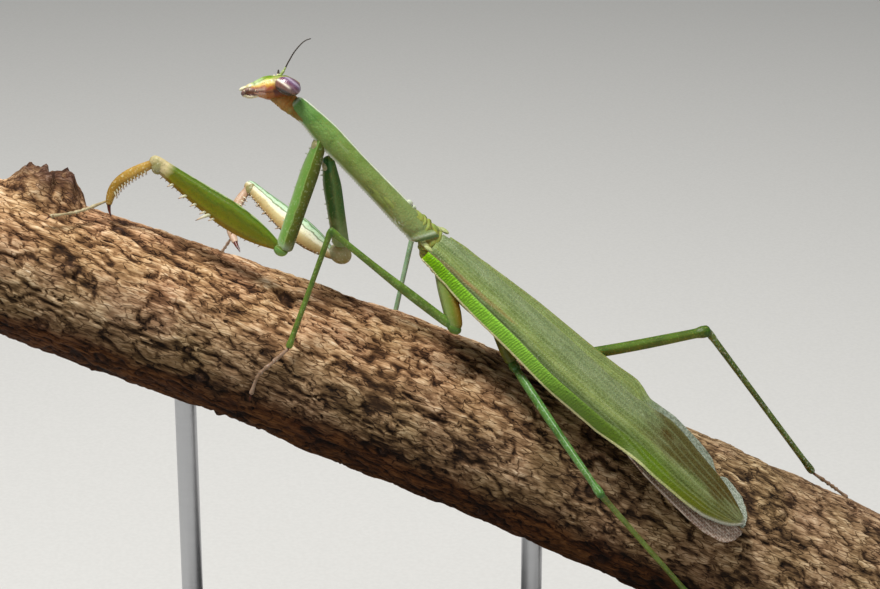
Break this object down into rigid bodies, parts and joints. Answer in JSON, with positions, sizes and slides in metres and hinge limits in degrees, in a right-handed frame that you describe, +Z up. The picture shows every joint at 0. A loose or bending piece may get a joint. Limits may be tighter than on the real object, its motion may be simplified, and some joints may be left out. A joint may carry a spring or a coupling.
{
  "type": "praying mantis display model",
  "caption": "Life-size still model of a slender green praying mantis gripping a cut length of branch, held over a flat stand by rods.",
  "frame": {"origin": "middle of the underside of the stand's base", "axes": "+X along the branch towards the wing tips, so the head is towards -X; +Y away from the mantis's left side; +Z up"},
  "size_m": [0.1447, 0.076, 0.1155],
  "materials": {
    "body_green": "satin painted cuticle, fresh green shading to tan",
    "wing_green": "leathery green fore wing with raised veins",
    "wing_clear": "smoky brown wing membrane",
    "eye_brown": "glossy mauve and brown compound eye",
    "mouth_tan": "soft tan and orange membrane",
    "feeler_dark": "dark brown feeler",
    "bark": "rough fissured brown bark",
    "base_black": "black-stained satin wood",
    "rod_steel": "brushed steel rod"
  },
  "bodies": {
    "root": {"abdomen": "body_green", "antenna_left": "feeler_dark", "antenna_right": "feeler_dark", "cercus_left": "body_green", "cercus_right": "body_green", "eye_left": "eye_brown", "eye_right": "eye_brown", "fore_left_coxa": "body_green", "fore_left_femur": "body_green", "fore_left_tarsus": "body_green", "fore_left_tibia": "body_green", "fore_right_coxa": "body_green", "fore_right_femur": "body_green", "fore_right_tarsus": "body_green", "fore_right_tibia": "body_green", "head": "body_green", "hind_left_coxa": "body_green", "hind_left_femur": "body_green", "hind_left_tarsus": "body_green", "hind_left_tibia": "body_green", "hind_right_coxa": "body_green", "hind_right_femur": "body_green", "hind_right_tarsus": "body_green", "hind_right_tibia": "body_green", "hindwing_left": "wing_clear", "hindwing_right": "wing_clear", "mid_left_coxa": "body_green", "mid_left_femur": "body_green", "mid_left_tarsus": "body_green", "mid_left_tibia": "body_green", "mid_right_coxa": "body_green", "mid_right_femur": "body_green", "mid_right_tarsus": "body_green", "mid_right_tibia": "body_green", "mouthparts": "mouth_tan", "neck": "mouth_tan", "perch_branch": "bark", "prothorax": "body_green", "pterothorax": "body_green", "stand_base": "base_black", "stand_rod_1": "rod_steel", "stand_rod_2": "rod_steel", "tegmen_left": "wing_green", "tegmen_right": "wing_green"}
  },
  "joints": []
}
